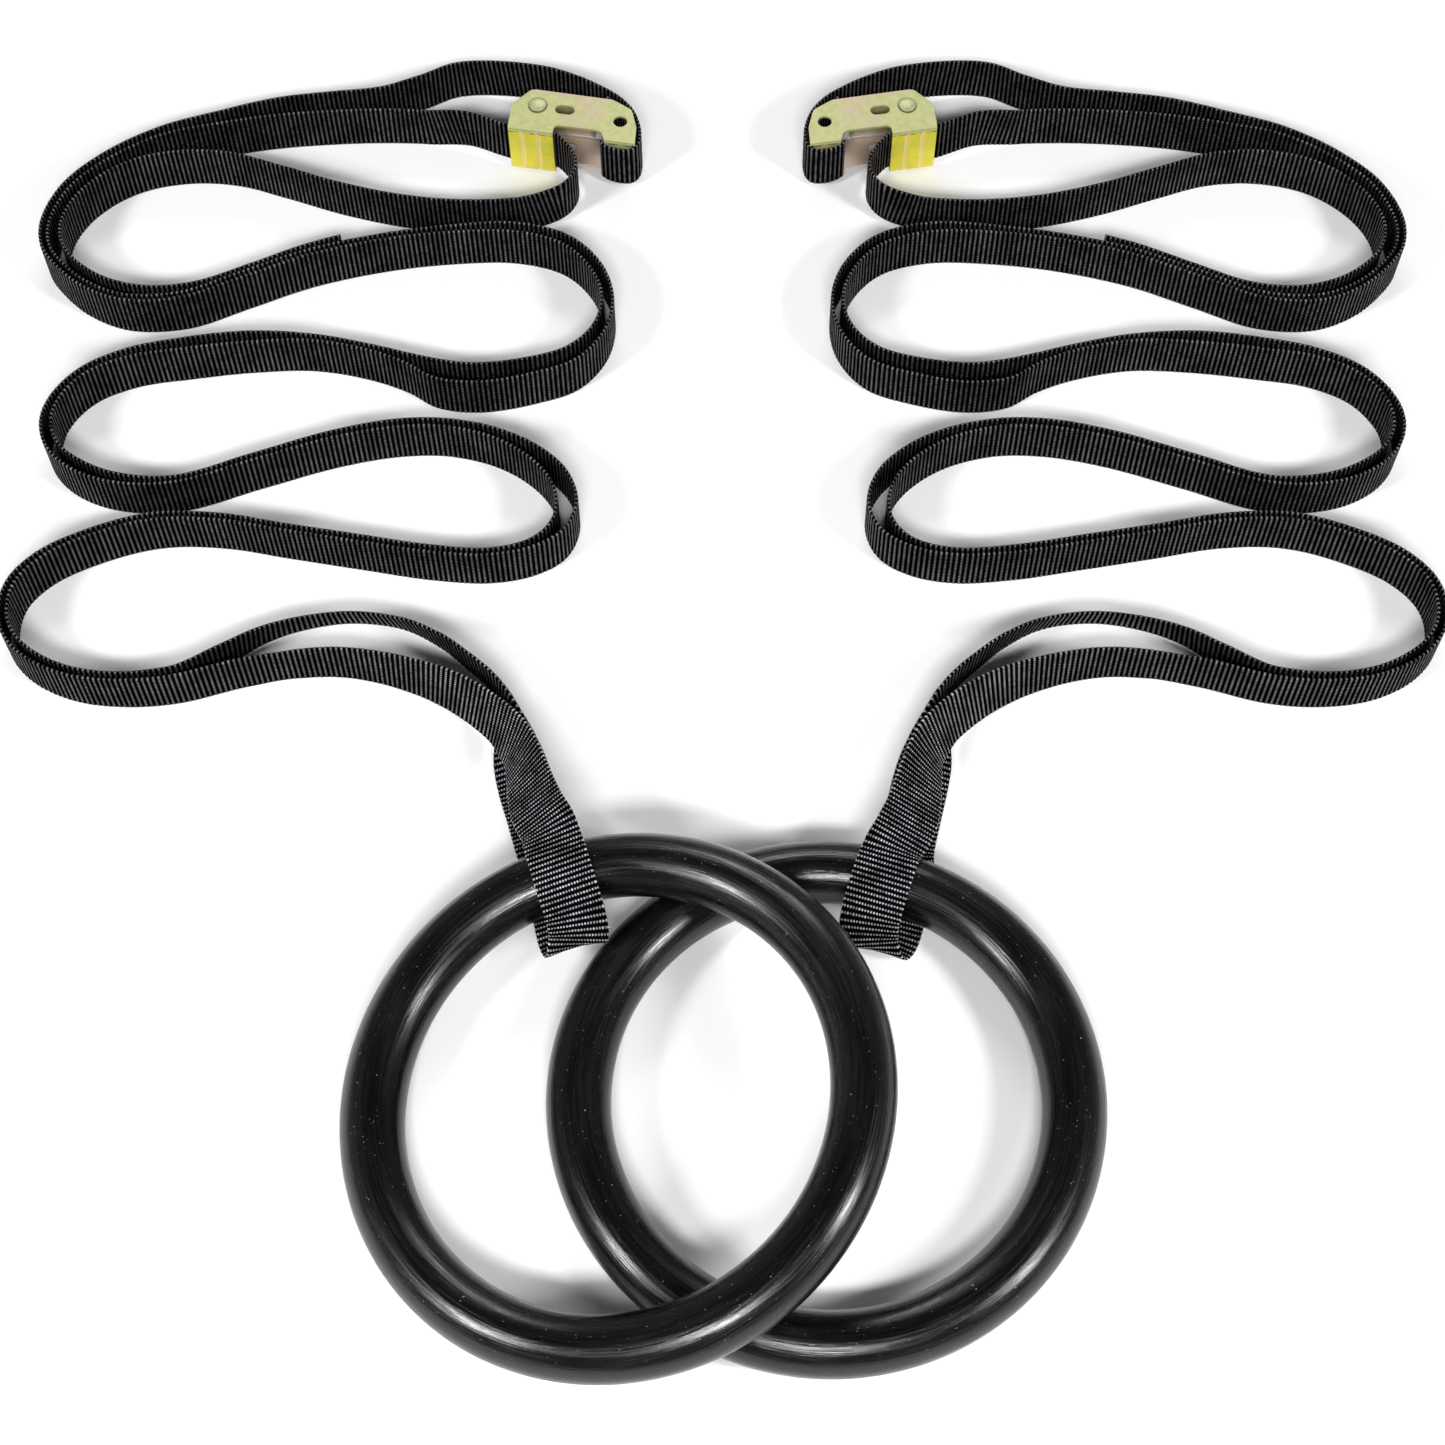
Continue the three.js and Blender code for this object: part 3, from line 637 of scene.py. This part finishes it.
# ---------------------------------------------------------------- materials
class Nodes:
    """One material's nodes. A plain value is set on the input it is given to, a socket is linked."""

    def __init__(self, name):
        self.material = bpy.data.materials.new(name)
        self.material.use_nodes = True
        self.tree = self.material.node_tree
        self.shader = self.tree.nodes["Principled BSDF"]

    def add(self, kind, **values):
        node = self.tree.nodes.new(kind)
        for key, value in values.items():
            setattr(node, key, value)
        return node

    def link(self, source, target):
        if isinstance(source, (int, float, tuple)):
            target.default_value = source
        else:
            self.tree.links.new(source, target)

    def math(self, operation, a, b=None, c=None):
        node = self.add("ShaderNodeMath", operation=operation)
        for i, value in enumerate((a, b, c)):
            if value is not None:
                self.link(value, node.inputs[i])
        return node.outputs[0]

    def mix(self, factor, a, b):
        node = self.add("ShaderNodeMix", data_type="RGBA")
        self.link(factor, node.inputs[0])
        self.link(a, node.inputs[6])
        self.link(b, node.inputs[7])
        return node.outputs[2]

    def ramp(self, value, low, high, to_low=0.0, to_high=1.0):
        node = self.add("ShaderNodeMapRange")
        self.link(value, node.inputs[0])
        for i, number in enumerate((low, high, to_low, to_high), 1):
            node.inputs[i].default_value = number
        return node.outputs[0]

    def vector(self, x, y, z):
        node = self.add("ShaderNodeCombineXYZ")
        for i, value in enumerate((x, y, z)):
            self.link(value, node.inputs[i])
        return node.outputs[0]

    def noise(self, vector, scale, detail=2.0, roughness=0.5):
        node = self.add("ShaderNodeTexNoise")
        self.link(vector, node.inputs["Vector"])
        node.inputs["Scale"].default_value = scale
        node.inputs["Detail"].default_value = detail
        node.inputs["Roughness"].default_value = roughness
        return node.outputs[0]

    def attribute(self, name):
        node = self.add("ShaderNodeAttribute", attribute_name=name, attribute_type="GEOMETRY")
        return node.outputs["Vector"]

    def band(self, value, middle, inner, outer):
        """1 within inner of the middle, falling to 0 at outer."""
        away = self.math("ABSOLUTE", self.math("SUBTRACT", value, middle))
        return self.ramp(away, inner, outer, 1.0, 0.0)

    def bump(self, height, strength, distance):
        node = self.add("ShaderNodeBump")
        node.inputs["Strength"].default_value = strength
        node.inputs["Distance"].default_value = distance
        self.link(height, node.inputs["Height"])
        return node.outputs[0]

    def split(self, vector):
        node = self.add("ShaderNodeSeparateXYZ")
        self.link(vector, node.inputs[0])
        return node.outputs


def webbing_material():
    """Black polyester: pale rows of thread on the rib crowns, painted highlight on the weave, painted paler
    still near the ring, where the strap lies flat facing the light.
    """
    n = Nodes("webbing")
    u, v, _ = n.split(n.add("ShaderNodeUVMap", uv_map="weave").outputs[0])
    rib = n.math("MULTIPLY", u, 1000 / RIB_PITCH)
    odd = n.math("MULTIPLY", n.math("MODULO", n.math("FLOOR", rib), 2.0), 0.5)
    thread = n.math("ADD", n.math("MULTIPLY", v, 1000 / THREADS_PITCH), odd)
    in_rib = n.math("SINE", n.math("MULTIPLY", n.math("FRACT", rib), math.pi))
    in_thread = n.math("ABSOLUTE", n.math("SINE", n.math("MULTIPLY", thread, math.pi)))
    row = n.math("POWER", in_rib, 3.2)
    bead = n.math("MULTIPLY", row, n.math("MULTIPLY_ADD", n.math("POWER", in_thread, 1.5), 0.88, 0.12))
    selvedge = n.ramp(n.math("ABSOLUTE", v), 0.0119, 0.0127)
    bead = n.math("MAXIMUM", bead, n.math("MULTIPLY", selvedge, row))
    place = n.vector(u, v, 0.0)
    fuzz = n.noise(n.vector(n.math("MULTIPLY", u, 0.4), v, 0.0), 3000, 2)
    wear = n.noise(place, 70, 3)
    every = n.noise(n.vector(n.math("FLOOR", rib), n.math("FLOOR", thread), 0.0), 3.7, 1)
    # The pale crown colour mixed in by this mask is painted highlight; the same mask also sets the crowns'
    # real gloss.
    crown_sheen = n.math("MULTIPLY", n.ramp(bead, 0.3, 0.95), n.ramp(every, 0.3, 0.7, 0.35, 1.2))
    crown_sheen = n.math("MULTIPLY", crown_sheen, n.ramp(wear, 0.35, 0.65, 0.55, 1.2))
    crown_sheen = n.math("MULTIPLY", crown_sheen, n.ramp(fuzz, 0.3, 0.7, 0.6, 1.2))
    dark = n.mix(n.ramp(wear, 0.35, 0.65), (0.0006, 0.0005, 0.0008, 1), (0.0014, 0.0013, 0.0017, 1))
    # Painted highlight: within about 0.2 m of the ring loop the crowns are painted much paler, where the
    # strap lies flat and faces the lamps.
    ring_flat_highlight = n.band(u, LOOP_AT * MM, 0.08, 0.2)
    crown = n.mix(ring_flat_highlight, (0.15, 0.142, 0.155, 1), (0.62, 0.59, 0.64, 1))
    n.link(n.mix(crown_sheen, dark, crown), n.shader.inputs["Base Color"])
    n.link(n.ramp(crown_sheen, 0.0, 0.8, 0.0, 1.0), n.shader.inputs["Specular IOR Level"])
    n.link(n.ramp(fuzz, 0.3, 0.7, 0.3, 0.45), n.shader.inputs["Roughness"])
    height = n.math("MULTIPLY_ADD", fuzz, 0.25, bead)
    n.link(n.bump(height, 0.9, 0.0003), n.shader.inputs["Normal"])
    return n.material


def ring_material():
    """Black moulded plastic with fine streaks along the tube."""
    n = Nodes("ring_plastic")
    circle = n.split(n.attribute("circle"))
    tube = n.split(n.attribute("tube"))

    def along_tube(length, width, detail):
        vector = n.vector(
            n.math("MULTIPLY", circle[0], length), n.math("MULTIPLY", circle[1], length),
            n.math("MULTIPLY", tube[0], width),
        )
        node = n.add("ShaderNodeTexNoise", noise_dimensions="4D")
        n.link(vector, node.inputs["Vector"])
        n.link(n.math("MULTIPLY", tube[1], width), node.inputs["W"])
        node.inputs["Scale"].default_value = 1.0
        node.inputs["Detail"].default_value = detail
        node.inputs["Roughness"].default_value = 0.6
        return node.outputs[0]

    streaks = along_tube(3.2, 17.0, 3.0)
    fine = along_tube(6.0, 48.0, 2.0)
    patches = along_tube(2.4, 1.3, 4.0)
    specks = along_tube(130.0, 20.0, 0.0)
    base = n.mix(n.ramp(patches, 0.35, 0.65), (0.0014, 0.0011, 0.0018, 1), (0.0034, 0.0028, 0.0038, 1))
    base = n.mix(n.ramp(specks, 0.8, 0.83), base, (0.2, 0.2, 0.2, 1))
    n.link(base, n.shader.inputs["Base Color"])
    rough = n.ramp(streaks, 0.38, 0.62, 0.12, 0.3)
    n.link(n.math("MULTIPLY_ADD", n.ramp(patches, 0.4, 0.6), 0.07, rough), n.shader.inputs["Roughness"])
    n.shader.inputs["Specular IOR Level"].default_value = 0.45
    height = n.math("MULTIPLY_ADD", fine, 0.35, streaks)
    n.link(n.bump(height, 0.36, 0.0003), n.shader.inputs["Normal"])
    return n.material


def zinc_material(name, plate, rough):
    """Yellow zinc plate: a pale green-yellow skin, pink in places, and deep yellow on the base wall."""
    n = Nodes(name)
    local = n.attribute("local")
    x, y, z = n.split(local)
    clouds = n.noise(local, 0.13, 4, 0.6)
    patches = n.noise(local, 0.34, 3, 0.55)
    fine = n.noise(local, 2.6, 3, 0.6)
    near_middle = n.band(x, 36.0, 3.0, 15.0)
    far_rim = n.ramp(y, 24.5, 26.5)
    pink = n.math("MAXIMUM", n.math("MULTIPLY", near_middle, n.ramp(clouds, 0.38, 0.6)), far_rim)
    base = n.mix(n.math("MULTIPLY", n.ramp(patches, 0.42, 0.66), 0.55), plate, (0.24, 0.29, 0.08, 1))
    base = n.mix(n.math("MULTIPLY", pink, 0.75), base, (0.42, 0.3, 0.24, 1))
    base = n.mix(n.math("MULTIPLY", n.ramp(fine, 0.4, 0.75), 0.3), base, (0.55, 0.55, 0.34, 1))
    # The lower plate: its pink tone is partly its own colour and partly painted light, made paler to offset
    # the shade it lies in.
    brightened_low_plate = n.math("MULTIPLY", n.ramp(z, 4.5, 5.5, 1.0, 0.0), n.ramp(y, 1.0, 2.0))
    base = n.mix(n.math("MULTIPLY", brightened_low_plate, 0.85), base, (0.78, 0.6, 0.52, 1))
    wall = n.math("MULTIPLY", n.ramp(y, 0.3, 1.0, 1.0, 0.0), n.ramp(z, 28.6, 29.6, 1.0, 0.0))
    wall = n.math("MULTIPLY", wall, n.ramp(x, 26.0, 30.0, 1.0, 0.0))
    groove = n.math("MAXIMUM", *(n.band(x, middle, 0.7, 1.3) for middle in GROOVES))
    smudge = n.ramp(clouds, 0.35, 0.6)
    yellow = n.mix(smudge, (0.78, 0.66, 0.04, 1), (0.62, 0.6, 0.05, 1))
    yellow = n.mix(n.math("MULTIPLY", n.ramp(fine, 0.45, 0.7), 0.3), yellow, (0.85, 0.8, 0.2, 1))
    yellow = n.mix(n.math("MULTIPLY", groove, 0.75), yellow, (0.85, 0.62, 0.3, 1))
    base = n.mix(wall, base, yellow)
    # Painted shade: a dark ring round the rivet head, where shade falls between the head and the plate.
    squares = (n.math("POWER", n.math("SUBTRACT", v, at), 2.0) for v, at in zip((x, y), PIVOT))
    from_pin = n.math("SQRT", n.math("ADD", *squares))
    pin_shade_ring = n.math("MULTIPLY", n.ramp(from_pin, 4.35, 4.65), n.ramp(from_pin, 4.75, 5.15, 1.0, 0.0))
    base = n.mix(n.math("MULTIPLY", pin_shade_ring, 0.85), base, (0.05, 0.05, 0.02, 1))
    # Painted shade: a broken dark line on the wall just below the outer fold.
    broken_shade = n.math("MULTIPLY", n.ramp(patches, 0.44, 0.5), n.ramp(y, 0.4, 1.0, 1.0, 0.0))
    fold_underside_shade = n.math("MULTIPLY", n.band(z, 28.4, 0.15, 0.5), broken_shade)
    base = n.mix(n.math("MULTIPLY", fold_underside_shade, 0.85), base, (0.03, 0.03, 0.015, 1))
    # Painted highlight: a pale line along the outer fold of the top plate.
    fold_highlight = n.math("MULTIPLY", n.band(z, 29.8, 0.15, 0.6), n.ramp(y, 0.2, 0.9, 1.0, 0.0))
    base = n.mix(n.math("MULTIPLY", fold_highlight, 0.7), base, (0.75, 0.72, 0.36, 1))
    n.link(base, n.shader.inputs["Base Color"])
    n.shader.inputs["Metallic"].default_value = 0.3
    n.link(n.ramp(fine, 0.3, 0.7, rough - 0.08, rough + 0.1), n.shader.inputs["Roughness"])
    n.link(n.bump(n.math("ADD", fine, patches), 0.2, 0.0003), n.shader.inputs["Normal"])
    return n.material


def steel_material():
    n = Nodes("spring_steel")
    local = n.attribute("local")
    fine = n.noise(local, 3.0, 3)
    n.link(n.mix(fine, (0.3, 0.3, 0.29, 1), (0.5, 0.5, 0.48, 1)), n.shader.inputs["Base Color"])
    n.shader.inputs["Metallic"].default_value = 1.0
    n.link(n.ramp(fine, 0.3, 0.7, 0.25, 0.45), n.shader.inputs["Roughness"])
    return n.material


def thread_material():
    n = Nodes("thread")
    local = n.attribute("local")
    x, y, z = n.split(local)
    twist = n.math("SINE", n.math("MULTIPLY", n.math("ADD", n.math("ADD", x, y), z), 9.0))
    shade = n.mix(n.ramp(twist, -1.0, 1.0), (0.008, 0.008, 0.009, 1), (0.04, 0.04, 0.042, 1))
    n.link(shade, n.shader.inputs["Base Color"])
    n.shader.inputs["Roughness"].default_value = 0.5
    n.link(n.bump(twist, 0.4, 0.0001), n.shader.inputs["Normal"])
    return n.material


def floor_material():
    n = Nodes("floor")
    place = n.add("ShaderNodeTexCoord").outputs["Object"]
    cloud = n.noise(place, 2.5, 3)
    n.link(n.mix(cloud, (0.9, 0.9, 0.9, 1), (0.94, 0.94, 0.94, 1)), n.shader.inputs["Base Color"])
    n.link(n.bump(n.noise(place, 900, 2), 0.05, 0.0001), n.shader.inputs["Normal"])
    n.shader.inputs["Roughness"].default_value = 0.9
    n.shader.inputs["Specular IOR Level"].default_value = 0.1
    return n.material


WEBBING = webbing_material()
PLASTIC = ring_material()
ZINC = zinc_material("yellow_zinc", (0.38, 0.38, 0.16, 1), 0.42)
RIVET = zinc_material("rivet_zinc", (0.42, 0.42, 0.24, 1), 0.36)
SPRING = steel_material()
THREAD = thread_material()


# ---------------------------------------------------------------- assembly
def cord(path):
    """Thins one run's path to every CORD_STRIDE-th point, and does nothing further with it."""
    path = path[np.r_[0 : len(path) - CORD_STRIDE : CORD_STRIDE, len(path) - 1]].tolist()


for side in ("right", "left"):
    rest = REST[side]
    body = f"{side}_set"
    line = strap_line(rest)
    ring_mark, window_mark = line[4]
    runs = (
        ("fixed_run", 0, ring_mark, "object"),
        ("live_run", ring_mark, window_mark, "object"),
        ("tail", window_mark, len(line[0]) - 1, "bare"),
    )
    for run_name, start, end, far_end in runs:
        obj, path = webbing(f"{side}_strap_{run_name}", side, line, start, end)
        obj.data.materials.append(WEBBING)
        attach(obj, body)
        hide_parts(f"{side}_strap")
        cord(path)

    ring = torus(f"{side}_ring_moulded", side, rest)
    ring.data.materials.append(PLASTIC)
    parts = (
        (ring, f"{side}_ring_body", f"{side}_ring", "ring_plastic"),
        (buckle_frame(side), body, f"{side}_buckle_frame", "yellow_zinc"),
        (cam_lever(side), f"{side}_lever", f"{side}_cam_lever", "yellow_zinc"),
        (rivet(side), body, f"{side}_rivet", "rivet_zinc"),
        (return_spring(side), body, f"{side}_return_spring", "spring_steel"),
        (sewn_stitching(side), body, f"{side}_sewn_stitching", "thread"),
    )
    for obj, rides_on, node, slot in parts:
        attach(obj, rides_on)
        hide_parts(node)

# ---------------------------------------------------------------- stage
FLOOR_REACH = 4
corners = [(x * FLOOR_REACH, y * FLOOR_REACH, 0) for x, y in ((-1, -1), (1, -1), (1, 1), (-1, 1))]
floor = mesh_object("floor", corners, [(0, 1, 2, 3)], smooth=False)
floor.data.materials.append(floor_material())

world = bpy.data.worlds.new("world")
world.use_nodes = True
sky = world.node_tree
background = sky.nodes["Background"]
direction = sky.nodes.new("ShaderNodeTexCoord")
height = sky.nodes.new("ShaderNodeSeparateXYZ")
fade = sky.nodes.new("ShaderNodeMapRange")
fade.inputs["From Min"].default_value = 0.0
fade.inputs["From Max"].default_value = 0.75
fade.inputs["To Min"].default_value = 0.35
fade.inputs["To Max"].default_value = 0.06
sky.links.new(direction.outputs["Generated"], height.inputs[0])
sky.links.new(height.outputs["Z"], fade.inputs["Value"])
sky.links.new(fade.outputs[0], background.inputs["Strength"])
background.inputs["Color"].default_value = (1, 1, 1, 1)
bpy.context.scene.world = world


LIGHT_DISTANCE = 2.4


def area_light(name, direction_to, size, power):
    """A rectangle of light LIGHT_DISTANCE metres away, turned to the middle of the set."""
    aim = Vector((0, -0.05, 0))
    place = aim + Vector(direction_to).normalized() * LIGHT_DISTANCE
    data = bpy.data.lights.new(name, "AREA")
    data.shape = "RECTANGLE"
    data.size, data.size_y = size
    data.energy = power
    light = bpy.data.objects.new(name, data)
    light.location = place
    light.rotation_euler = (aim - place).to_track_quat("-Z", "Y").to_euler()
    bpy.context.scene.collection.objects.link(light)


area_light("front", (0, -0.64, 0.77), (0.8, 0.3), 40)
area_light("right_side", (0.68, -0.36, 0.62), (0.35, 0.5), 32)
area_light("left_side", (-0.68, -0.36, 0.62), (0.35, 0.5), 32)
area_light("back", (0, 0.75, 0.66), (1.2, 0.35), 14)
bpy.context.scene.view_settings.view_transform = "Standard"
